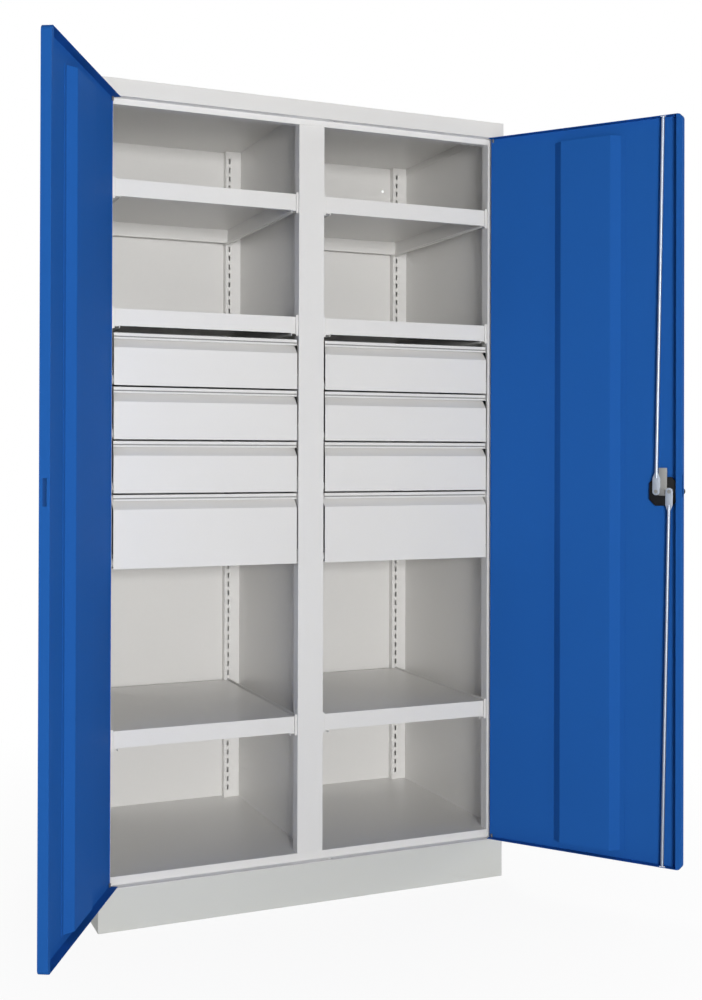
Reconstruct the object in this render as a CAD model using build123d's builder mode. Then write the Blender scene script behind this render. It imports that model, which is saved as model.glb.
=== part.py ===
from build123d import *
import os
from math import atan, degrees, floor

# Heavy-duty storage cabinet with two wing doors, eight drawers and six shelves.
# Millimetres. The origin is the middle of the plinth's footprint on the floor,
# +X is to the right, +Y to the back and +Z up. The doors stand open.

# Whole cabinet
width = 1050.0
depth = 600.0
height = 1950.0
plinth_height = 98.0

# Sheet thicknesses
sheet = 1.2
rail_sheet = 1.5
back_sheet = 1.0
plinth_sheet = 2.0

# Front frame
frame_setback = 23.0
fascia_height = 40.0
top_rail_drop = 14.0
rail_lip = 20.0
floor_level = 118.0
column_width = 18.0
side_post_width = 33.0
centre_post_width = 66.0
post_return = 30.0
post_lip = 12.0
post_clearance = 0.2
notch_clearance = 1.0
side_flange_front_gap = 12.0
side_flange_rear_gap = 8.0
base_flange = 25.0
rear_flange = 20.0
roof_flange = 20.0
wall_hole = 8.0
wall_hole_inset = 70.0
wall_hole_drop = 70.0

# Slotted uprights at the back
upright_width = 44.0
upright_depth = 22.0
slot_width = 5.0
slot_height = 14.0
slot_pitch = 25.0
first_slot = 145.5
slot_top_gap = 20.0

# Shelves and the rails that carry them
shelf_tops = {"upper": 1726.0, "middle": 1426.0, "lower": 451.0}
shelf_gap = 6.5
shelf_lip = 40.0
shelf_return = 12.0
shelf_setback = 28.0
shelf_rear_gap = 2.8
ledge_width = 17.0
ledge_lip = 4.5
rail_rise = 4.0
rail_setback = 4.0
rail_plate_gap = 0.5
hook_height = 12.0
hook_reach = 4.2

# Drawers, numbered from the top, and their roller runners
drawer_bottoms = [1249.0, 1124.0, 999.0, 824.0]
drawer_heights = [121.0, 121.0, 121.0, 171.0]
front_gap = 4.0
face_to_slope = 34.0
strip_height = 14.0
strip_setback = 4.0
grip_depth = 19.0
front_fold = 10.0
strip_edge_top = 7.0
strip_edge_bottom = 4.0
strip_edge_depth = 1.0
box_inset = 16.5
box_end_gap = 13.8
box_hem = 8.0
box_top_gap = 6.0
box_floor_rise = 6.0
box_back_drop = 20.0
runner_rise = 2.0
runner_height = 32.0
runner_depth = 13.5
slide_rise = 4.0
slide_height = 21.5
slide_depth = 13.0
slide_tail = 12.0
front_roller = 20.0
front_roller_setback = 19.0
rear_roller = 28.5
rear_roller_setback = 17.6
rear_roller_gap = 2.0
roller_clearance = 0.25
roller_face = 11.0

# Doors
left_angle = 118.0
right_angle = 127.0
door_thickness = 21.5
door_bottom_gap = 1.8
door_top_gap = 1.5
door_to_column = 4.0
meeting_gap = 3.0
hinge_edge = 6.0
pin_depth = 4.5
pin_diameter = 5.0
pin_clearance = 0.1
pin_collar = 8.0
collar_gap = 0.3
lower_pin_reach = 9.0
upper_pin_reach = 10.0
upper_pin_end = 6.0
door_return = 14.0
hinge_return = 3.0
door_corner = 12.0
hat_start = 169.0
hat_width = 170.0
hat_depth = 18.0
hat_slope = 21.4
hat_flange = 12.0
hat_top_gap = 32.0
hat_bottom_gap = 20.0

# Three-point lock in the right door
lock_level = 1003.0
lock_backset = 48.0
case_size = 70.0
case_depth = 7.0
case_chamfer = 15.0
cam_depth = 9.0
cam_plate = 3.0
cam_radius = 16.0
cam_arm = 18.0
tongue_width = 20.0
tongue_reach = 57.0
spindle_diameter = 12.0
spindle_clearance = 0.15
stud_diameter = 6.0
stud_head = 9.0
stud_head_height = 1.7
stud_play = 0.3
hub_height = 5.0
rod_diameter = 8.0
rod_flat_width = 18.0
rod_flat_length = 54.0
rod_shoulder = 13.0
rod_end_gap = 1.5
rod_swing = 8.0
rod_frame_play = 2.0
rod_door_play = 1.0
tongue_play = 2.5
tongue_slot_height = 54.0
tongue_slot_width = 8.0
tongue_slot_depth = 7.5
rosette_diameter = 56.0
rosette_depth = 5.0
handle_base = 44.0
handle_base_depth = 12.0
handle_length = 84.0
handle_width = 17.0
handle_grip = 17.0
handle_gap = 0.3
cylinder_diameter = 14.0
cylinder_length = 12.0
cylinder_proud = 1.5
keyway = (1.6, 7.0)

# Bolts between the carcass and the plinth
bolt_diameter = 8.0
bolt_head = 13.0
bolt_head_height = 5.5
bolt_nut_height = 6.5
bolt_side_inset = 14.0
bolt_end_inset = 70.0

# Places that follow from these
side = width / 2
front = -depth / 2
back = depth / 2
frame = front + frame_setback
frame_back = frame + sheet
inner_wall = side - sheet
base_top = plinth_height + sheet
fascia_bottom = height - fascia_height
opening_top = fascia_bottom - top_rail_drop
roof_underside = height - sheet
post_inner = side - side_post_width
post_half = centre_post_width / 2
post_back = frame + post_return
back_face = back - sheet - back_sheet
upright_face = back_face - upright_depth
opening_centre = (post_inner + post_half) / 2
opening_half = (post_inner - post_half) / 2
slot_count = floor((roof_underside - slot_top_gap - first_slot) / slot_pitch) + 1
box_front = frame + grip_depth + sheet
box_end = upright_face - box_end_gap
door_bottom = base_top + door_bottom_gap
door_top = fascia_bottom - door_top_gap
rod_line = meeting_gap / 2 + lock_backset
rod_depth = cam_depth + 1.5 * cam_plate
hinge_x = side - column_width - door_to_column - hinge_edge
door_reach = hinge_x - meeting_gap / 2
door_height = door_top - door_bottom
bolt_reach = (side - bolt_side_inset, back - bolt_end_inset)
LEFT, RIGHT = -1, 1


def keep(piece, name):
    """Name a finished piece and write it to its own file."""
    piece.part.label = name
    export_step(piece.part, "parts/" + name + ".step")


def bent_sheet(points, thickness, inner):
    """Close the section of a folded sheet: one face's line of bends, and which side the metal lies on."""
    with BuildLine() as bends:
        Polyline(*points)
        offset(amount=thickness, side=inner, kind=Kind.INTERSECTION)
    make_face(bends.line.edges())


def block(x, y, z, mode=Mode.ADD):
    """Add or cut a square-edged block between two values on each axis."""
    with Locations(((x[0] + x[1]) / 2, (y[0] + y[1]) / 2, (z[0] + z[1]) / 2)):
        Box(abs(x[1] - x[0]), abs(y[1] - y[0]), abs(z[1] - z[0]), mode=mode)


# Plinth: four welded walls with flanges turned inwards at the top and the bottom.
# The lower lock rod drops through the round hole in the front top flange.
def make_plinth():
    with BuildPart() as plinth:
        block((-side, side), (front, back), (0, plinth_height))
        inner = side - plinth_sheet
        block((-inner, inner), (front + plinth_sheet, back - plinth_sheet),
              (plinth_sheet, plinth_height - plinth_sheet), Mode.SUBTRACT)
        open_side = inner - base_flange
        open_end = back - plinth_sheet - base_flange
        block((-open_side, open_side), (-open_end, open_end), (0, plinth_height), Mode.SUBTRACT)
        with BuildSketch(Plane.XY.offset(plinth_height - plinth_sheet)):
            with Locations((rod_line, front + rod_depth)):
                Circle(rod_swing)
            with GridLocations(2 * bolt_reach[0], 2 * bolt_reach[1], 2, 2):
                Circle(bolt_diameter / 2)
        extrude(amount=plinth_sheet, mode=Mode.SUBTRACT)
    keep(plinth, "plinth")


def frame_holes(level):
    """Cut the two hinge pin holes and the lock rod's slot through the front sheet at a level."""
    with BuildSketch(Plane.XY.offset(level)) as holes:
        with Locations((-hinge_x, front + pin_depth), (hinge_x, front + pin_depth)):
            Circle(pin_diameter / 2)
        with Locations((rod_line, front + rod_depth)):
            SlotOverall(2 * rod_swing, rod_diameter + rod_frame_play)
    extrude(holes.sketch, amount=sheet, mode=Mode.SUBTRACT)


# Floor: one folded sheet, with the sill in front that the doors close over.
def make_floor():
    with BuildPart() as panel:
        with BuildSketch(Plane.YZ.offset(-inner_wall)):
            bent_sheet([(front, base_top), (frame, base_top), (frame, floor_level),
                        (back_face, floor_level), (back_face, plinth_height),
                        (back_face - base_flange, plinth_height)], sheet, Side.RIGHT)
        extrude(amount=2 * inner_wall)
        for way in (LEFT, RIGHT):
            block((way * (post_inner - post_clearance), way * side), (front, post_back + notch_clearance),
                  (base_top, floor_level), Mode.SUBTRACT)
        frame_holes(plinth_height)
    keep(panel, "floor_panel")


# Roof: one folded sheet from the top rail's lip over the fascia to the back edge.
def make_roof():
    with BuildPart() as roof:
        with BuildSketch(Plane.YZ.offset(-side)):
            bent_sheet([(frame + rail_lip, opening_top), (frame, opening_top), (frame, fascia_bottom),
                        (front, fascia_bottom), (front, height), (back, height)], sheet, Side.RIGHT)
        extrude(amount=width)
        for way in (LEFT, RIGHT):
            block((way * inner_wall, way * side), (front + sheet, back),
                  (opening_top, roof_underside), Mode.SUBTRACT)
            block((way * (post_inner - post_clearance), way * side), (frame, frame + rail_lip),
                  (opening_top, fascia_bottom), Mode.SUBTRACT)
            block((way * (inner_wall - sheet), way * inner_wall),
                  (frame + rail_lip, upright_face - notch_clearance),
                  (roof_underside - roof_flange, roof_underside))
        frame_holes(fascia_bottom)
    keep(roof, "roof_panel")


# Side panel: wall, rear flange and front post in one sheet. The post steps back
# beside the door, turns in to frame the opening and ends in a stiffening lip.
def make_side_panel(way, name):
    metal = Side.RIGHT if way == RIGHT else Side.LEFT
    with BuildPart() as panel:
        with BuildSketch(Plane.XY.offset(base_top)):
            bent_sheet([(way * (side - rear_flange), back), (way * side, back), (way * side, front),
                        (way * (side - column_width), front), (way * (side - column_width), frame),
                        (way * post_inner, frame), (way * post_inner, post_back),
                        (way * (post_inner + post_lip), post_back)], sheet, metal)
        extrude(amount=fascia_bottom - base_top)
        block((way * inner_wall, way * side), (front, back), (plinth_height, base_top))
        block((way * (side - base_flange), way * inner_wall),
              (frame + side_flange_front_gap, back_face - base_flange - side_flange_rear_gap),
              (plinth_height, base_top))
        block((way * inner_wall, way * side), (front + sheet, back), (fascia_bottom, roof_underside))
        block((way * (side - rear_flange), way * inner_wall), (back - sheet, back),
              (fascia_bottom, roof_underside))
        with BuildSketch(Plane.XY.offset(plinth_height)):
            with Locations((way * bolt_reach[0], -bolt_reach[1]), (way * bolt_reach[0], bolt_reach[1])):
                Circle(bolt_diameter / 2)
        extrude(amount=sheet, mode=Mode.SUBTRACT)
    keep(panel, name)


# Back panel, with the two holes that fix the cabinet to a wall.
def make_back_panel():
    with BuildPart() as panel:
        with BuildSketch(Plane.XZ.offset(-back_face)):
            with Locations((0, (base_top + roof_underside) / 2)):
                Rectangle(2 * inner_wall, roof_underside - base_top)
            reach = side - wall_hole_inset
            level = height - wall_hole_drop
            with Locations((-reach, level), (reach, level)):
                Circle(wall_hole / 2, mode=Mode.SUBTRACT)
        extrude(amount=-back_sheet)
    keep(panel, "back_panel")


# Partition on the middle line, notched at the top to pass under the front rail.
def make_partition():
    with BuildPart() as partition:
        with BuildSketch(Plane.YZ.offset(-sheet / 2)):
            with BuildLine():
                Polyline((frame_back, floor_level), (back_face, floor_level), (back_face, roof_underside),
                         (frame + rail_lip, roof_underside), (frame + rail_lip, opening_top),
                         (frame_back, opening_top), close=True)
            make_face()
        extrude(amount=sheet)
    keep(partition, "partition_wall")


# Centre post: a channel that closes the front edge of the partition.
def make_centre_post():
    with BuildPart() as post:
        with BuildSketch(Plane.XY.offset(floor_level)):
            bent_sheet([(-post_half + post_lip, post_back), (-post_half, post_back), (-post_half, frame),
                        (post_half, frame), (post_half, post_back), (post_half - post_lip, post_back)],
                       sheet, Side.LEFT)
        extrude(amount=opening_top - floor_level)
    keep(post, "centre_post")


# Rear uprights: two slotted channels in each compartment, against the back panel.
def make_rear_uprights(way, name):
    beside_partition = sheet / 2
    beside_wall = inner_wall - upright_width
    with BuildPart() as uprights:
        for start in (beside_partition, beside_wall):
            end = start + upright_width
            near, far = (start, end) if way == RIGHT else (-end, -start)
            with BuildSketch(Plane.XY.offset(floor_level)):
                bent_sheet([(near, back_face), (near, upright_face), (far, upright_face),
                            (far, back_face)], sheet, Side.LEFT)
            extrude(amount=roof_underside - floor_level)
        with BuildSketch(Plane.XZ.offset(-upright_face)):
            for end in (LEFT, RIGHT):
                column = way * opening_centre + end * (opening_half - rail_sheet / 2)
                middle = first_slot + slot_pitch * (slot_count - 1) / 2
                with Locations((column, middle)):
                    with GridLocations(1, slot_pitch, 1, slot_count):
                        Rectangle(slot_width, slot_height)
        extrude(amount=-sheet, mode=Mode.SUBTRACT)
    keep(uprights, name)


def side_rail_section(way, end, points, thickness):
    """Draw a side rail's section: distances in from the post, and heights."""
    post = way * opening_centre + end * opening_half
    metal = Side.RIGHT if end == RIGHT else Side.LEFT
    bent_sheet([(post - end * inward, level) for inward, level in points], thickness, metal)


def slot_below(level):
    """Give the height of the highest slot whose middle is at or below a level."""
    return first_slot + slot_pitch * floor((level - first_slot) / slot_pitch)


def hook(way, end, level):
    """Add the tab that hangs a rail's rear end in a slot of the upright."""
    post = way * opening_centre + end * opening_half
    block((post, post - end * rail_sheet), (upright_face, upright_face + hook_reach),
          (level - hook_height / 2, level + hook_height / 2))


# Shelf rails: angles that hang between the front posts and the slotted uprights.
# Each has a small front plate beside the shelf's lip.
def make_shelf_rails(way, name):
    rail_front = frame + rail_setback
    with BuildPart() as rails:
        for top in shelf_tops.values():
            ledge = top - shelf_lip
            upper_hook = slot_below(top + rail_rise - hook_height / 2)
            for end in (LEFT, RIGHT):
                with BuildSketch(Plane.XZ.offset(-rail_front)):
                    side_rail_section(way, end, [(0, top + rail_rise), (0, ledge - rail_sheet),
                                                 (ledge_width, ledge - rail_sheet),
                                                 (ledge_width, ledge - rail_sheet - ledge_lip)], rail_sheet)
                extrude(amount=-(upright_face - rail_front))
                post = way * opening_centre + end * opening_half
                block((post, post - end * (shelf_gap - rail_plate_gap)),
                      (rail_front, rail_front + rail_sheet),
                      (ledge - rail_sheet - ledge_lip, top + rail_rise))
                for level in (upper_hook, upper_hook - slot_pitch):
                    hook(way, end, level)
    keep(rails, name)


# Shelf: a pan with deep lips, returned at the front and the back.
def make_shelf(way, top, name):
    half = opening_half - shelf_gap
    near = front + shelf_setback
    far = upright_face - shelf_rear_gap
    bottom = top - shelf_lip
    middle = way * opening_centre
    with BuildPart() as shelf:
        with BuildSketch(Plane.YZ.offset(middle - half)):
            bent_sheet([(near + shelf_return, bottom), (near, bottom), (near, top), (far, top),
                        (far, bottom), (far - shelf_return, bottom)], sheet, Side.RIGHT)
        extrude(amount=2 * half)
        for end in (LEFT, RIGHT):
            block((middle + end * half, middle + end * (half - sheet)), (near, far), (bottom, top))
    keep(shelf, name)


# Fixed runners: channels that face the drawer, with a roller at the front end.
def make_drawer_runners(way, name):
    rail_front = frame + rail_setback
    with BuildPart() as runners:
        for bottom in drawer_bottoms:
            low = bottom + runner_rise
            for end in (LEFT, RIGHT):
                with BuildSketch(Plane.XZ.offset(-rail_front)):
                    side_rail_section(way, end, [(runner_depth, low + runner_height),
                                                 (0, low + runner_height), (0, low),
                                                 (runner_depth, low)], rail_sheet)
                extrude(amount=-(upright_face - rail_front))
                hook(way, end, slot_below(low + runner_height - hook_height / 2))
    keep(runners, name)


def roller(plane, diameter):
    """Add a roller that stands on a plane, the face of the sheet that carries it."""
    with BuildSketch(plane) as wheel:
        Circle(diameter / 2)
    extrude(wheel.sketch, amount=roller_face)


# Front rollers: they carry the drawers' moving runners.
def make_front_rollers():
    with BuildPart() as rollers:
        for way in (LEFT, RIGHT):
            for bottom in drawer_bottoms:
                level = bottom + runner_rise + rail_sheet + roller_clearance + front_roller / 2
                for end in (LEFT, RIGHT):
                    web = way * opening_centre + end * (opening_half - rail_sheet)
                    axle = (web, frame + front_roller_setback, level)
                    roller(Plane(origin=axle, x_dir=(0, 1, 0), z_dir=(-end, 0, 0)), front_roller)
    keep(rollers, "runner_rollers")


# Drawer front: a folded panel whose upper part slopes back into a finger channel
# behind a strip with a label groove. The channel is open at both ends, and the
# fold at the bottom stops short of the runners.
def make_drawer_front(way, bottom, tall, name):
    top = bottom + tall
    half = opening_half - front_gap
    middle = way * opening_centre
    channel = frame + grip_depth
    joint = channel + sheet
    strip = frame + strip_setback
    with BuildPart() as panel:
        with BuildSketch(Plane.YZ.offset(middle - half)):
            bent_sheet([(joint, bottom + front_fold), (joint, bottom), (frame, bottom),
                        (frame, top - face_to_slope), (channel, top - strip_height),
                        (channel, top - sheet), (strip + sheet, top - sheet),
                        (strip + sheet, top - strip_height)], sheet, Side.RIGHT)
            for low, high in ((strip_height, strip_height - strip_edge_bottom), (strip_edge_top, 0)):
                with Locations((strip - strip_edge_depth / 2, top - (low + high) / 2)):
                    Rectangle(strip_edge_depth, low - high)
        extrude(amount=2 * half)
        for end in (LEFT, RIGHT):
            block((middle + end * (half - runner_depth), middle + end * half), (frame_back, joint),
                  (bottom, bottom + runner_rise + runner_height), Mode.SUBTRACT)
    keep(panel, name)


# Drawer box: a tray with hemmed sides and a lower back wall, behind the front.
def make_drawer_box(way, bottom, tall, name):
    half = opening_half - box_inset
    middle = way * opening_centre
    low = bottom + box_floor_rise
    rim = bottom + tall - box_top_gap
    with BuildPart() as box:
        with BuildSketch(Plane.XZ.offset(-box_front)):
            bent_sheet([(middle - half + box_hem, rim), (middle - half, rim), (middle - half, low),
                        (middle + half, low), (middle + half, rim), (middle + half - box_hem, rim)],
                       sheet, Side.LEFT)
        extrude(amount=-(box_end - box_front))
        inner = half - sheet
        block((middle - inner, middle + inner), (box_front, box_front + sheet), (low + sheet, rim))
        block((middle - inner, middle + inner), (box_end - sheet, box_end),
              (low + sheet, rim - box_back_drop))
    keep(box, name)


# Moving runners of one drawer: an angle under each side wall that rides on the
# front roller, and its own rear roller inside the fixed channel.
def make_drawer_slides(way, bottom, name):
    near = box_front + sheet
    rear_axle = box_end - rear_roller_setback
    flange_end = rear_axle - rear_roller / 2 - rear_roller_gap
    track = bottom + runner_rise + rail_sheet + roller_clearance + rear_roller / 2
    with BuildPart() as slides:
        for end in (LEFT, RIGHT):
            wall = way * opening_centre + end * (opening_half - box_inset)
            metal = Side.RIGHT if end == RIGHT else Side.LEFT
            low = bottom + slide_rise
            with BuildSketch(Plane.XZ.offset(-near)):
                bent_sheet([(wall, low), (wall, low + slide_height),
                            (wall + end * slide_depth, low + slide_height)], rail_sheet, metal)
            extrude(amount=-(flange_end - near))
            block((wall, wall + end * rail_sheet), (near, rear_axle + slide_tail), (low, low + slide_height))
            axle = (wall + end * rail_sheet, rear_axle, track)
            roller(Plane(origin=axle, x_dir=(0, 1, 0), z_dir=(end, 0, 0)), rear_roller)
    keep(slides, name)


def door_directions(way):
    """Give the open door's directions: along it from the hinge, and from its skin inwards."""
    turn = way * (left_angle if way == LEFT else right_angle)
    along = Vector(-way, 0, 0).rotate(Axis.Z, turn)
    inward = Vector(0, 1, 0).rotate(Axis.Z, turn)
    return along, inward


def door_face(way, behind_skin):
    """Upright plane in the open door: x runs from the hinge, y up; extrude by way to go inwards."""
    along, inward = door_directions(way)
    hinge = Vector(way * hinge_x, front + pin_depth, 0)
    return Plane(origin=hinge + inward * (behind_skin - pin_depth), x_dir=along, z_dir=inward * way)


def door_level(way, level):
    """Level plane in the open door: x runs from the hinge, y in from the skin; extrude by -way to rise."""
    along, inward = door_directions(way)
    origin = Vector(way * hinge_x, front + pin_depth, level) - inward * pin_depth
    return Plane(origin=origin, x_dir=along, z_dir=(0, 0, -way))


def door_edge(way, distance):
    """Upright plane across the open door: x in from the skin, y up; extrude by -way to go outwards."""
    along, inward = door_directions(way)
    origin = Vector(way * hinge_x, front + pin_depth, 0) - inward * pin_depth + along * distance
    return Plane(origin=origin, x_dir=inward, z_dir=along * -way)


def door_outline(inset):
    """Draw the door's face with rounded corners at its free edge, inset all round."""
    with BuildSketch(mode=Mode.PRIVATE) as outline:
        with Locations(((door_reach - hinge_edge) / 2, (door_bottom + door_top) / 2)):
            shape = Rectangle(door_reach + hinge_edge, door_height)
        fillet(shape.vertices().group_by(Axis.X)[-1], door_corner)
        if inset:
            offset(amount=-inset, kind=Kind.INTERSECTION)
    return outline.sketch


# Door: a pan with flanges at the top and the bottom, a returned one at the free
# edge and a hem at the hinge. Both meeting edges have the tall slot that the
# lock's tongue swings in.
def make_door(way, name):
    with BuildPart() as door:
        with BuildSketch(door_face(way, 0)):
            add(door_outline(0))
        extrude(amount=way * sheet)
        with BuildSketch(door_face(way, 0)):
            add(door_outline(0))
            add(door_outline(sheet), mode=Mode.SUBTRACT)
        extrude(amount=way * door_thickness)
        with BuildSketch(door_face(way, door_thickness - sheet)):
            add(door_outline(0))
            with Locations(((door_reach - door_return - hinge_edge) / 2, (door_bottom + door_top) / 2)):
                Rectangle(door_reach - door_return + hinge_edge, door_height, mode=Mode.SUBTRACT)
        extrude(amount=way * sheet)
        with BuildSketch(door_face(way, hinge_return)):
            with Locations((-hinge_edge, (door_bottom + door_top) / 2)):
                Rectangle(2 * sheet, door_height - 2 * sheet)
        extrude(amount=way * (door_thickness - hinge_return), mode=Mode.SUBTRACT)
        for level in (door_bottom, door_top - sheet):
            with BuildSketch(door_level(way, level)):
                with Locations((0, pin_depth)):
                    Circle(pin_diameter / 2 + pin_clearance)
                if way == RIGHT:
                    with Locations((door_reach - lock_backset, rod_depth)):
                        SlotOverall(2 * rod_swing, rod_diameter + rod_door_play)
            extrude(amount=-way * sheet, mode=Mode.SUBTRACT)
        with BuildSketch(door_edge(way, door_reach - sheet)):
            slot_middle = lock_level + tongue_slot_height / 2 - tongue_width / 2 - tongue_play
            with Locations((tongue_slot_depth + tongue_slot_width / 2, slot_middle)):
                Rectangle(tongue_slot_width, tongue_slot_height)
        extrude(amount=-way * sheet, mode=Mode.SUBTRACT)
        if way == RIGHT:
            with BuildSketch(door_face(way, 0)):
                with Locations((door_reach - lock_backset, lock_level)):
                    Circle(spindle_diameter / 2 + spindle_clearance)
            extrude(amount=way * sheet, mode=Mode.SUBTRACT)
    keep(door, name)


# Door stiffener: a wide hat section welded to the inside of the skin.
def make_door_stiffener(way, name):
    length = door_height - hat_top_gap - hat_bottom_gap
    start = hat_start
    end = hat_start + hat_width
    crown = sheet + hat_depth
    with BuildPart() as hat:
        with BuildSketch(door_level(way, door_bottom + hat_bottom_gap)):
            bent_sheet([(start - hat_flange, sheet), (start, sheet), (start + hat_slope, crown - sheet),
                        (end - hat_slope, crown - sheet), (end, sheet), (end + hat_flange, sheet)],
                       sheet, Side.LEFT)
        extrude(amount=-way * length)
    keep(hat, name)


# Hinge pins: four pins set in the frame, with a collar that keeps the door clear of it.
def make_hinge_pins():
    with BuildPart() as pins:
        for x in (-hinge_x, hinge_x):
            with BuildSketch(Plane.XY.offset(plinth_height)):
                with Locations((x, front + pin_depth)):
                    Circle(pin_diameter / 2)
            extrude(amount=door_bottom + lower_pin_reach - plinth_height)
            with BuildSketch(Plane.XY.offset(base_top)):
                with Locations((x, front + pin_depth)):
                    Circle(pin_collar / 2)
            extrude(amount=door_bottom - collar_gap - base_top)
            with BuildSketch(Plane.XY.offset(door_top - upper_pin_reach)):
                with Locations((x, front + pin_depth)):
                    Circle(pin_diameter / 2)
            extrude(amount=fascia_bottom + sheet + upper_pin_end - door_top + upper_pin_reach)
            with BuildSketch(Plane.XY.offset(door_top + collar_gap)):
                with Locations((x, front + pin_depth)):
                    Circle(pin_collar / 2)
            extrude(amount=fascia_bottom - door_top - collar_gap)
    keep(pins, "hinge_pins")


# Lock case: a flat box with chamfered corners on the inside of the right door.
def make_lock_case():
    with BuildPart() as case:
        with BuildSketch(door_face(RIGHT, sheet)):
            with Locations((door_reach - lock_backset, lock_level)):
                shape = Rectangle(case_size, case_size)
            chamfer(shape.vertices(), case_chamfer)
            with Locations((door_reach - lock_backset, lock_level)):
                Circle(spindle_diameter / 2 + spindle_clearance, mode=Mode.SUBTRACT)
        extrude(amount=case_depth)
    keep(case, "lock_case")


# Rosette on the outside, round the spindle.
def make_lock_rosette():
    with BuildPart() as rosette:
        with BuildSketch(door_face(RIGHT, -rosette_depth)):
            with Locations((door_reach - lock_backset, lock_level)):
                Circle(rosette_diameter / 2)
                Circle(spindle_diameter / 2 + spindle_clearance, mode=Mode.SUBTRACT)
        extrude(amount=rosette_depth)
    keep(rosette, "lock_rosette")


# Cam: spindle, hub, and one plate with the tongue and an arm for each rod's stud.
def make_lock_cam():
    middle = (door_reach - lock_backset, lock_level)
    with BuildPart() as cam:
        with BuildSketch(door_face(RIGHT, -rosette_depth - handle_gap)):
            with Locations(middle):
                Circle(spindle_diameter / 2)
        extrude(amount=rosette_depth + handle_gap + cam_depth + cam_plate + hub_height)
        with BuildSketch(door_face(RIGHT, cam_depth)):
            with Locations(middle):
                SlotOverall(2 * cam_radius + cam_arm, cam_arm)
            low = lock_level - tongue_width / 2
            with Locations((middle[0], (low + lock_level + tongue_reach) / 2)):
                Rectangle(tongue_width, lock_level + tongue_reach - low)
        extrude(amount=cam_plate)
        for end in (LEFT, RIGHT):
            stud = (middle[0] + end * cam_radius, lock_level)
            with BuildSketch(door_face(RIGHT, cam_depth + cam_plate)):
                with Locations(stud):
                    Circle(stud_diameter / 2)
            extrude(amount=cam_plate + stud_play)
            with BuildSketch(door_face(RIGHT, cam_depth + 2 * cam_plate + stud_play)):
                with Locations(stud):
                    Circle(stud_head / 2)
            extrude(amount=stud_head_height)
    keep(cam, "lock_cam")


# Rods: flattened at the cam, tapered at the shoulder and round beyond it, up or
# down to the door's end. At rest each leans a little, because its stud stands
# beside the spindle.
def make_rod(end, name):
    pivot = (door_reach - lock_backset - end * cam_radius, lock_level)
    far = door_top - rod_end_gap if end == RIGHT else door_bottom + rod_end_gap
    rise = far - lock_level
    lean = degrees(atan(end * cam_radius / rise))
    length = abs(rise)
    face = door_face(RIGHT, rod_depth - cam_plate / 2)
    base = Plane(origin=face.from_local_coords((pivot[0], pivot[1], 0)), x_dir=face.x_dir, z_dir=face.z_dir)
    upright = Vector(0, end, 0).rotate(Axis.Z, -lean)
    along = base.from_local_coords(tuple(upright)) - base.origin
    flat = Plane(origin=base.origin, x_dir=along, z_dir=face.z_dir)
    stem = Plane(origin=base.origin + face.z_dir * (cam_plate / 2), x_dir=face.z_dir, z_dir=along)
    shaped = rod_flat_length - rod_flat_width / 2
    wide = rod_flat_width / 2
    with BuildPart() as rod:
        with BuildSketch(flat):
            with BuildLine():
                Polyline((0, wide), (shaped - rod_shoulder, wide), (shaped, rod_diameter / 2),
                         (shaped, -rod_diameter / 2), (shaped - rod_shoulder, -wide), (0, -wide), close=True)
            make_face()
            Circle(wide)
            Circle(stud_diameter / 2 + pin_clearance, mode=Mode.SUBTRACT)
        extrude(amount=cam_plate)
        with BuildSketch(stem.offset(shaped - rod_shoulder)):
            Circle(rod_diameter / 2)
        extrude(amount=length - shaped + rod_shoulder)
    keep(rod, name)


# Turning handle outside: a round base with a rounded bar across it.
def make_lock_handle():
    middle = (door_reach - lock_backset, lock_level)
    start = -rosette_depth - handle_gap
    with BuildPart() as handle:
        with BuildSketch(door_face(RIGHT, start)):
            with Locations(middle):
                Circle(handle_base / 2)
        extrude(amount=-handle_base_depth)
        with BuildSketch(door_face(RIGHT, start - handle_base_depth)):
            with Locations(middle):
                SlotOverall(handle_length, handle_width)
        extrude(amount=-handle_grip)
        with BuildSketch(door_face(RIGHT, start - handle_base_depth - handle_grip)):
            with Locations(middle):
                Circle(cylinder_diameter / 2)
        extrude(amount=cylinder_length - cylinder_proud, mode=Mode.SUBTRACT)
    keep(handle, "lock_handle")


# Key cylinder in the middle of the handle.
def make_lock_cylinder():
    middle = (door_reach - lock_backset, lock_level)
    outer = -rosette_depth - handle_gap - handle_base_depth - handle_grip - cylinder_proud
    with BuildPart() as cylinder:
        with BuildSketch(door_face(RIGHT, outer)):
            with Locations(middle):
                Circle(cylinder_diameter / 2)
        extrude(amount=cylinder_length)
        with BuildSketch(door_face(RIGHT, outer)):
            with Locations(middle):
                Rectangle(*keyway)
        extrude(amount=cylinder_length / 2, mode=Mode.SUBTRACT)
    keep(cylinder, "lock_cylinder")


# Bolts and nuts that hold the carcass on the plinth.
def make_plinth_bolts():
    with BuildPart() as bolts:
        flange_bottom = plinth_height - plinth_sheet
        for x in (-bolt_reach[0], bolt_reach[0]):
            for y in (-bolt_reach[1], bolt_reach[1]):
                with BuildSketch(Plane.XY.offset(flange_bottom - bolt_head_height)):
                    with Locations((x, y)):
                        RegularPolygon(bolt_head / 2, 6, major_radius=False)
                extrude(amount=bolt_head_height)
                with BuildSketch(Plane.XY.offset(flange_bottom)):
                    with Locations((x, y)):
                        Circle(bolt_diameter / 2)
                extrude(amount=base_top - flange_bottom)
                with BuildSketch(Plane.XY.offset(base_top)):
                    with Locations((x, y)):
                        RegularPolygon(bolt_head / 2, 6, major_radius=False)
                extrude(amount=bolt_nut_height)
    keep(bolts, "plinth_bolts")


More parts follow.
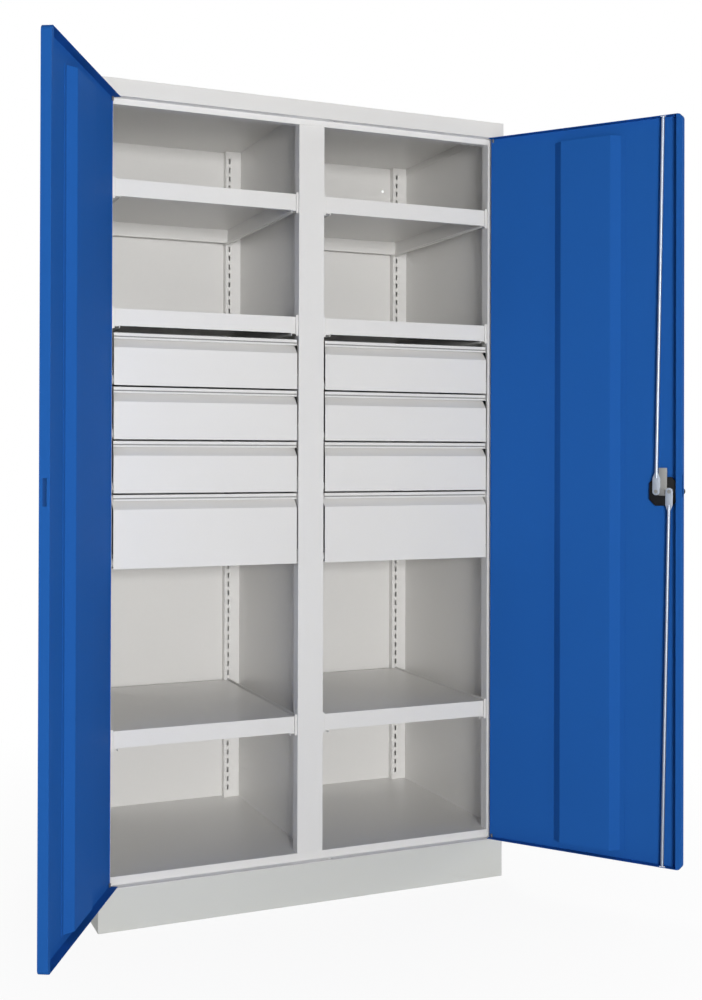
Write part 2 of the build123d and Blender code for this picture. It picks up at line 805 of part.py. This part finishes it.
os.makedirs("parts", exist_ok=True)
make_plinth()
make_plinth_bolts()
make_floor()
make_roof()
make_back_panel()
make_partition()
make_centre_post()
for way, word in ((LEFT, "left"), (RIGHT, "right")):
    make_side_panel(way, "side_panel_" + word)
    make_rear_uprights(way, "rear_uprights_" + word)
    make_shelf_rails(way, "shelf_rails_" + word)
    make_drawer_runners(way, "drawer_runners_" + word)
    for place, top in shelf_tops.items():
        make_shelf(way, top, "shelf_" + place + "_" + word)
    for number, (bottom, tall) in enumerate(zip(drawer_bottoms, drawer_heights), start=1):
        tail = word + "_" + str(number)
        make_drawer_front(way, bottom, tall, "drawer_front_" + tail)
        make_drawer_box(way, bottom, tall, "drawer_box_" + tail)
        make_drawer_slides(way, bottom, "drawer_slides_" + tail)
    make_door(way, "door_" + word)
    make_door_stiffener(way, "door_stiffener_" + word)
make_front_rollers()
make_hinge_pins()
make_lock_case()
make_lock_rosette()
make_lock_cam()
make_rod(RIGHT, "rod_upper")
make_rod(LEFT, "rod_lower")
make_lock_handle()
make_lock_cylinder()
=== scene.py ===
from math import cos, radians, sin

import bmesh
import bpy
from mathutils import Matrix, Vector


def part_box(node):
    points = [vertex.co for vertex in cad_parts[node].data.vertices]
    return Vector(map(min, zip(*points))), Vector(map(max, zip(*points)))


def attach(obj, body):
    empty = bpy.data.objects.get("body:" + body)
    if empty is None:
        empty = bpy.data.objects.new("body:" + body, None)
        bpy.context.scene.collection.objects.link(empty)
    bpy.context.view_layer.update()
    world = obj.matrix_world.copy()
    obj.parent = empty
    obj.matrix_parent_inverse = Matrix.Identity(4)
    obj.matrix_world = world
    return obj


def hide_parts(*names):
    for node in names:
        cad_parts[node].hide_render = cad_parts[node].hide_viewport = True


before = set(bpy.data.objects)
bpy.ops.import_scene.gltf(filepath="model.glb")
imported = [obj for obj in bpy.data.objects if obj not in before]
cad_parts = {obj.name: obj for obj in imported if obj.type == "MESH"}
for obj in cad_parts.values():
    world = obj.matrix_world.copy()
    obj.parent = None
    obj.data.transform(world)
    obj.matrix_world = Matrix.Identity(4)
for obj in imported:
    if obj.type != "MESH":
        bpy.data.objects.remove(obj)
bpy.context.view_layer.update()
bpy.context.scene.view_settings.view_transform = "Standard"


# Plinth: four folded steel walls welded at the corners and sprayed light grey.
# Most other sheets are finished in the same way: their bends are rounded, and a
# powder coat with a faint orange peel covers the steel.
def maths(tree, operation, *values):
    """Add one step of arithmetic to a node tree, on numbers or on other nodes' outputs."""
    node = tree.nodes.new("ShaderNodeMath")
    node.operation = operation
    for socket, value in zip(node.inputs, values):
        if isinstance(value, float):
            socket.default_value = value
        else:
            tree.links.new(value, socket)
    return node.outputs[0]


def noise(tree, place, scale, detail):
    """Add a noise pattern to a node tree, laid out on the given coordinates."""
    pattern = tree.nodes.new("ShaderNodeTexNoise")
    pattern.inputs["Scale"].default_value = scale
    pattern.inputs["Detail"].default_value = detail
    tree.links.new(place, pattern.inputs["Vector"])
    return pattern.outputs["Fac"]


def powder_coat_group():
    """Build the sprayed finish once: its colour, its gloss and the height of its orange peel."""
    cloud_scale, grain_scale, peel_scale, gloss_drift = 3.1, 260.0, 420.0, 0.10
    group = bpy.data.node_groups.new("powder_coat", "ShaderNodeTree")
    for name, kind in (("Colour", "NodeSocketColor"), ("Mottle", "NodeSocketFloat"),
                       ("Gloss", "NodeSocketFloat")):
        group.interface.new_socket(name, in_out="INPUT", socket_type=kind)
    for name, kind in (("Colour", "NodeSocketColor"), ("Roughness", "NodeSocketFloat"),
                       ("Height", "NodeSocketFloat")):
        group.interface.new_socket(name, in_out="OUTPUT", socket_type=kind)
    add, link = group.nodes.new, group.links.new
    given, made = add("NodeGroupInput"), add("NodeGroupOutput")
    place = add("ShaderNodeTexCoord").outputs["Object"]
    cloud = noise(group, place, cloud_scale, 4.0)
    grain = noise(group, place, grain_scale, 2.0)
    peel = noise(group, place, peel_scale, 1.0)
    centred = maths(group, "SUBTRACT", maths(group, "ADD", cloud, grain), 1.0)
    drift = maths(group, "MULTIPLY", centred, given.outputs["Mottle"])
    tone = add("ShaderNodeHueSaturation")
    link(maths(group, "ADD", drift, 1.0), tone.inputs["Value"])
    link(given.outputs["Colour"], tone.inputs["Color"])
    link(tone.outputs["Color"], made.inputs["Colour"])
    link(maths(group, "MULTIPLY_ADD", cloud, gloss_drift, given.outputs["Gloss"]), made.inputs["Roughness"])
    link(peel, made.inputs["Height"])
    return group


powder_coat = powder_coat_group()


def enamel(name, colour, mottle=0.03, gloss=0.34, sheen=0.5):
    """Make a sprayed or moulded finish from the shared group."""
    peel_depth, peel_strength = 0.00012, 0.35
    material = bpy.data.materials.new(name)
    material.use_nodes = True
    nodes, link = material.node_tree.nodes, material.node_tree.links.new
    coat = nodes.new("ShaderNodeGroup")
    coat.node_tree = powder_coat
    coat.inputs["Colour"].default_value = (*colour, 1.0)
    coat.inputs["Mottle"].default_value = mottle
    coat.inputs["Gloss"].default_value = gloss
    bump = nodes.new("ShaderNodeBump")
    bump.inputs["Strength"].default_value = peel_strength
    bump.inputs["Distance"].default_value = peel_depth
    surface = nodes["Principled BSDF"]
    surface.inputs["Specular IOR Level"].default_value = sheen
    link(coat.outputs["Colour"], surface.inputs["Base Color"])
    link(coat.outputs["Roughness"], surface.inputs["Roughness"])
    link(coat.outputs["Height"], bump.inputs["Height"])
    link(bump.outputs["Normal"], surface.inputs["Normal"])
    return material


def sheet_width(face):
    """Width of a long face: its area over its longest edge."""
    return face.calc_area() / max(1e-6, *[edge.calc_length() for edge in face.edges])


def merged_copy(node):
    """Copy a node's mesh and join its loose triangles into whole faces."""
    same_point, same_plane = 1e-6, radians(0.5)
    mesh = bmesh.new()
    mesh.from_mesh(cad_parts[node].data)
    bmesh.ops.remove_doubles(mesh, verts=mesh.verts, dist=same_point)
    bmesh.ops.dissolve_limit(mesh, angle_limit=same_plane, verts=mesh.verts, edges=mesh.edges)
    return mesh


def rounded(mesh, edges, radius):
    """Round the given edges, in three steps each."""
    bmesh.ops.bevel(mesh, geom=edges, offset=radius, offset_type="OFFSET", segments=3, profile=0.5,
                    affect="EDGES", clamp_overlap=True, material=-1)


def stand_in(mesh, node, body, material, sharp_angle):
    """Mark the sharp edges of a finished copy, and put it in its node's place, body and slot."""
    for edge in mesh.edges:
        edge.smooth = len(edge.link_faces) == 2 and edge.calc_face_angle() < sharp_angle
    data = bpy.data.meshes.new(node + "_finished")
    mesh.to_mesh(data)
    mesh.free()
    data.materials.append(material)
    piece = bpy.data.objects.new(node + "_finished", data)
    bpy.context.scene.collection.objects.link(piece)
    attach(piece, body)
    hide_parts(node)
    return piece


def folded(node, body, material, outer=0.0016, thinnest=0.0022, shortest=0.01):
    """Round the bends of a folded sheet, outside more than inside, and leave its cut edges sharp."""
    inner, least_bend, sharp_angle = 0.0007, radians(25), radians(40)
    mesh = merged_copy(node)
    for radius, convex in ((outer, True), (inner, False)):
        bends = []
        for edge in mesh.edges:
            if len(edge.link_faces) != 2 or edge.is_convex != convex:
                continue
            if edge.calc_face_angle() < least_bend or edge.calc_length() < shortest:
                continue
            if min(sheet_width(face) for face in edge.link_faces) > thinnest:
                bends.append(edge)
        rounded(mesh, bends, radius)
    for face in mesh.faces:
        face.smooth = sheet_width(face) < outer
    return stand_in(mesh, node, body, material, sharp_angle)


plinth_grey = enamel("plinth_grey", (0.690, 0.695, 0.660), sheen=0.3)
folded("plinth", "carcass", plinth_grey)


# Bolts: four plated bolts with their nuts that hold the carcass on the plinth.
# They keep their turned and rolled shape, with a bright zinc plating.
def zinc(name, colour, roughness=0.32, streaks=(30.0, 30.0, 400.0), metal=1.0):
    """Make zinc-plated steel, a little darker and smoother along faint drawing lines."""
    line_darkness, line_roughness = 0.86, 0.18
    material = bpy.data.materials.new(name)
    material.use_nodes = True
    tree = material.node_tree
    nodes, link = tree.nodes, tree.links.new
    surface = nodes["Principled BSDF"]
    surface.inputs["Metallic"].default_value = metal
    turn = nodes.new("ShaderNodeMapping")
    turn.inputs["Scale"].default_value = streaks
    link(nodes.new("ShaderNodeTexCoord").outputs["Object"], turn.inputs["Vector"])
    lines = noise(tree, turn.outputs["Vector"], 1.0, 5.0)
    tint = nodes.new("ShaderNodeMix")
    tint.data_type = "RGBA"
    tint.inputs["A"].default_value = (*[part * line_darkness for part in colour], 1.0)
    tint.inputs["B"].default_value = (*colour, 1.0)
    link(lines, tint.inputs["Factor"])
    link(tint.outputs["Result"], surface.inputs["Base Color"])
    matt = maths(tree, "MULTIPLY_ADD", lines, line_roughness, roughness - line_roughness / 2)
    link(matt, surface.inputs["Roughness"])
    return material


def paint(node, material):
    """Give a CAD node a finish, and leave its shape as it is."""
    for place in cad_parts[node].material_slots:
        place.material = material


plated = zinc("plated_steel", (0.78, 0.79, 0.80))
paint("plinth_bolts", plated)


# Carcass: floor, roof, side panels and back panel, folded from steel sheet and
# welded together, then sprayed light grey inside and out.
body_grey = enamel("body_grey", (0.828, 0.817, 0.796), gloss=0.26, sheen=0.5)
for node in ("floor_panel", "roof_panel", "side_panel_left", "side_panel_right", "back_panel"):
    folded(node, "carcass", body_grey)


# Partition and centre post: the middle wall and the channel that closes its edge.
# Both are welded to the roof and the floor.
folded("partition_wall", "carcass", body_grey)
folded("centre_post", "carcass", body_grey)


# Slotted uprights: two folded channels in each compartment, punched with a row of
# slots that takes the hooks of the rails and runners.
for hand in ("left", "right"):
    folded("rear_uprights_" + hand, "carcass", body_grey)


# Shelves and their rails: each shelf is a pan of grey sheet with deep lips, and
# lies on two angles that hook into the uprights and are sprayed the same grey.
for hand in ("left", "right"):
    folded("shelf_rails_" + hand, "carcass", body_grey)
    for place in ("upper", "middle", "lower"):
        folded("shelf_" + place + "_" + hand, "carcass", body_grey)


# Runners and rollers: every drawer has a folded channel of galvanised steel on
# each side, and each channel has a white nylon roller at its front.
galvanised = zinc("galvanised_sheet", (0.46, 0.46, 0.46), roughness=0.58, streaks=(22.0, 22.0, 22.0),
                  metal=0.45)
nylon = enamel("white_nylon", (0.80, 0.80, 0.78), mottle=0.02, gloss=0.42)
for hand in ("left", "right"):
    folded("drawer_runners_" + hand, "carcass", galvanised)
paint("runner_rollers", nylon)


# Drawer boxes: trays of grey sheet, with a row of small curved ribs pressed out
# of each side, and angles of galvanised steel under them that run on the rollers.
drawers = [hand + "_" + number for hand in ("left", "right") for number in ("1", "2", "3", "4")]
drawer_grey = enamel("drawer_grey", (0.57, 0.54, 0.49), mottle=0.05, gloss=0.42)
# The ribs are painted a lighter grey than the sides: a painted highlight that stands in for the light their
# raised form catches.
drawer_rib = enamel("drawer_rib", (0.72, 0.69, 0.63), mottle=0.05, gloss=0.42)
rib_radius = 0.018


def rib_arc():
    """Make one rib, a short arc that is spun from its section."""
    width, rise, half_angle, steps = 0.0017, 0.0011, radians(50), 6
    arc = bmesh.new()
    ring = [arc.verts.new((x, rib_radius + y, 0.0)) for x, y in
            ((0.0, -width), (rise, -width / 3), (rise, width / 3), (0.0, width))]
    section = arc.faces.new(ring)
    bmesh.ops.rotate(arc, verts=arc.verts, cent=(0, 0, 0), matrix=Matrix.Rotation(-half_angle, 3, "X"))
    bmesh.ops.spin(arc, geom=[section], cent=(0, 0, 0), axis=(1, 0, 0), angle=2 * half_angle, steps=steps,
                   use_duplicate=False)
    bmesh.ops.recalc_face_normals(arc, faces=arc.faces)
    one = bpy.data.meshes.new("rib")
    arc.to_mesh(one)
    arc.free()
    return one


def drawer_ribs(drawer, rib):
    """Repeat the rib along both sides of a drawer, with its bulge towards the front."""
    level, pitch, row_start, row_ends = 0.49, 0.020, 0.02, 0.03
    low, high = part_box("drawer_box_" + drawer)
    middle = low[2] + level * (high[2] - low[2])
    count = int((high[1] - low[1] - row_ends) / pitch)
    row = bmesh.new()
    for wall, side in ((high[0], 1), (low[0], -1)):
        for step in range(count):
            start = len(row.verts)
            row.from_mesh(rib)
            row.verts.ensure_lookup_table()
            fresh = row.verts[start:]
            bmesh.ops.scale(row, verts=fresh, vec=(side, -1, 1))
            # One mirroring turns the faces inside out, and a second one turns them back.
            if side > 0:
                bmesh.ops.reverse_faces(row, faces=list({face for vert in fresh for face in vert.link_faces}))
            bmesh.ops.translate(row, verts=fresh,
                                vec=(wall, low[1] + row_start + rib_radius + step * pitch, middle))
    data = bpy.data.meshes.new("drawer_ribs_" + drawer)
    row.to_mesh(data)
    row.free()
    data.materials.append(drawer_rib)
    ribs = bpy.data.objects.new("drawer_ribs_" + drawer, data)
    bpy.context.scene.collection.objects.link(ribs)
    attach(ribs, "drawer_" + drawer)


rib = rib_arc()
for drawer in drawers:
    folded("drawer_box_" + drawer, "drawer_" + drawer, drawer_grey)
    drawer_ribs(drawer, rib)
    paint("drawer_slides_" + drawer, galvanised)
bpy.data.meshes.remove(rib)


# Drawer fronts: folded grey panels, with a strip along the top whose groove holds
# labels. The groove's middle is 8.5 mm under the top, and its floor is painted a
# darker, duller grey: painted shade that stands in for the shadow in the groove.
groove_painted_shade = enamel("groove_painted_shade", (0.30, 0.30, 0.29), mottle=0.06, gloss=0.55, sheen=0.2)
groove_middle, groove_tolerance = 0.0085, 0.0007
for drawer in drawers:
    front = folded("drawer_front_" + drawer, "drawer_" + drawer, body_grey)
    front.data.materials.append(groove_painted_shade)
    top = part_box("drawer_front_" + drawer)[1][2]
    # Painted shade: the faces on the groove's floor take the darker grey.
    for face in front.data.polygons:
        if face.normal.y < -0.9 and abs(top - face.center.z - groove_middle) < groove_tolerance:
            face.material_index = 1


# Doors: folded blue pans with rounded free corners and a welded hat stiffener,
# hung on dull plated pins. Their bends are rounded all the way round the corners.
door_blue = enamel("door_blue", (0.0190, 0.1210, 0.440), mottle=0.04, gloss=0.5, sheen=0.015)
for hand in ("left", "right"):
    folded("door_" + hand, "door_" + hand, door_blue, outer=0.0011, thinnest=0.0014,
           shortest=0.001)
    folded("door_stiffener_" + hand, "door_" + hand, door_blue)
pin_steel = zinc("pin_steel", (0.22, 0.22, 0.23), roughness=0.55)
paint("hinge_pins", pin_steel)


# Lock: black moulded case, rosette and handle, a cast cam with its tongue, and
# plated rods that the cam draws in. Their edges are eased, not sharp.
black = enamel("black_plastic", (0.006, 0.006, 0.007), mottle=0.10, gloss=0.46, sheen=0.25)
bright = zinc("bright_zinc", (0.50, 0.55, 0.63), roughness=0.50)
cast = zinc("cast_zinc", (0.36, 0.36, 0.35), roughness=0.42, streaks=(300.0, 300.0, 90.0))


def eased(node, body, material, radius):
    """Round the sharp outer edges of a moulded, cast or turned piece."""
    sharp_angle = radians(35)
    mesh = merged_copy(node)
    sharp = [edge for edge in mesh.edges if len(edge.link_faces) == 2 and edge.is_convex
             and edge.calc_face_angle() > sharp_angle
             and min(sheet_width(face) for face in edge.link_faces) > 2 * radius]
    rounded(mesh, sharp, radius)
    for face in mesh.faces:
        face.smooth = True
    stand_in(mesh, node, body, material, sharp_angle)


eased("lock_case", "door_right", black, 0.0012)
eased("lock_rosette", "door_right", black, 0.0010)
eased("lock_handle", "lock", black, 0.0025)
eased("lock_cam", "lock", cast, 0.0004)
eased("lock_cylinder", "lock", pin_steel, 0.0003)
eased("rod_upper", "rod_upper", bright, 0.0004)
eased("rod_lower", "rod_lower", bright, 0.0004)


# Studio: a pale floor that fades to white, four soft lamps round the cabinet and
# an even white surround, which glossy surfaces show too.
def studio_floor():
    """Lay the floor. The camera sees it almost white, with the cabinet's shadow near its foot."""
    half_size, below_plinth = 30.0, 0.0005
    shadow_edge, white_edge, whiteness = 0.55, 1.8, 0.92
    mesh = bmesh.new()
    bmesh.ops.create_grid(mesh, x_segments=8, y_segments=8, size=half_size)
    data = bpy.data.meshes.new("floor")
    mesh.to_mesh(data)
    mesh.free()
    floor = bpy.data.objects.new("floor", data)
    bpy.context.scene.collection.objects.link(floor)
    floor.location.z = -below_plinth
    material = bpy.data.materials.new("floor_paint")
    material.use_nodes = True
    tree = material.node_tree
    nodes, link = tree.nodes, tree.links.new
    surface = nodes["Principled BSDF"]
    surface.inputs["Roughness"].default_value = 0.9
    surface.inputs["Base Color"].default_value = (0.80, 0.80, 0.80, 1.0)
    reach = nodes.new("ShaderNodeVectorMath")
    reach.operation = "LENGTH"
    link(nodes.new("ShaderNodeTexCoord").outputs["Object"], reach.inputs[0])
    fade = nodes.new("ShaderNodeMapRange")
    fade.inputs["From Min"].default_value = shadow_edge
    fade.inputs["From Max"].default_value = white_edge
    fade.inputs["To Min"].default_value = whiteness
    link(reach.outputs["Value"], fade.inputs["Value"])
    seen = nodes.new("ShaderNodeLightPath").outputs["Is Camera Ray"]
    mix = nodes.new("ShaderNodeMixShader")
    link(maths(tree, "MULTIPLY", fade.outputs["Result"], seen), mix.inputs["Fac"])
    link(surface.outputs["BSDF"], mix.inputs[1])
    link(nodes.new("ShaderNodeEmission").outputs["Emission"], mix.inputs[2])
    link(mix.outputs["Shader"], nodes["Material Output"].inputs["Surface"])
    data.materials.append(material)


def surround(strength):
    """Light the scene evenly, and show plain white to the camera and in reflections."""
    world = bpy.data.worlds.new("surround")
    bpy.context.scene.world = world
    world.use_nodes = True
    tree = world.node_tree
    nodes, link = tree.nodes, tree.links.new
    lit, shown = nodes["Background"], nodes.new("ShaderNodeBackground")
    lit.inputs["Strength"].default_value = strength
    for background in (lit, shown):
        background.inputs["Color"].default_value = (1.0, 1.0, 1.0, 1.0)
    path = nodes.new("ShaderNodeLightPath").outputs
    mix = nodes.new("ShaderNodeMixShader")
    link(maths(tree, "MAXIMUM", path["Is Camera Ray"], path["Is Glossy Ray"]), mix.inputs["Fac"])
    link(lit.outputs["Background"], mix.inputs[1])
    link(shown.outputs["Background"], mix.inputs[2])
    link(mix.outputs["Shader"], nodes["World Output"].inputs["Surface"])


def soft_light(name, place, aim, size, power):
    """Set up a rectangular lamp at a place, turned to what it aims at."""
    data = bpy.data.lights.new(name, "AREA")
    data.shape = "RECTANGLE"
    data.size, data.size_y = size
    data.energy = power
    lamp = bpy.data.objects.new(name, data)
    bpy.context.scene.collection.objects.link(lamp)
    lamp.location = place
    lamp.rotation_euler = (Vector(aim) - Vector(place)).to_track_quat("-Z", "Y").to_euler()


studio_floor()
surround(0.10)
soft_light("front_light", (-1.1, -6.0, 1.3), (0.0, 0.0, 1.1), (1.2, 0.8), 204.0)
soft_light("right_light", (6.5, -2.9, 1.3), (0.0, 0.0, 1.0), (1.5, 1.5), 62.0)
soft_light("left_light", (-6.0, 2.4, 1.4), (0.0, 0.0, 1.0), (1.5, 1.5), 70.0)
soft_light("rear_light", (1.5, 6.0, 4.8), (0.0, 0.0, 1.0), (3.0, 3.0), 300.0)


# Camera: where the photograph was taken from, found from the cabinet's own edges.
# Lengths in the picture are in its pixels, and the sensor's 36 mm span its height.
eye = Vector((-1.14498, -3.18351, 1.09380))
yaw, pitch, roll = radians(23.043), radians(0.281), radians(0.165)
focal_pixels, frame_width, frame_height = 1274.84, 702.0, 1000.0
middle_x, middle_y = 345.46, 446.66
sensor = 36.0
ahead = Vector((sin(yaw) * cos(pitch), cos(yaw) * cos(pitch), sin(pitch)))
level_right = Vector((cos(yaw), -sin(yaw), 0.0))
level_up = level_right.cross(ahead)
right = level_right * cos(roll) + level_up * sin(roll)
up = level_up * cos(roll) - level_right * sin(roll)
camera_data = bpy.data.cameras.new("camera")
camera_data.sensor_width = sensor
camera_data.lens = sensor * focal_pixels / frame_height
camera_data.shift_x = (frame_width / 2 - middle_x) / frame_height
camera_data.shift_y = (middle_y - frame_height / 2) / frame_height
camera = bpy.data.objects.new("camera", camera_data)
bpy.context.scene.collection.objects.link(camera)
camera.matrix_world = Matrix((right, up, -ahead)).transposed().to_4x4()
camera.location = eye
bpy.context.scene.camera = camera
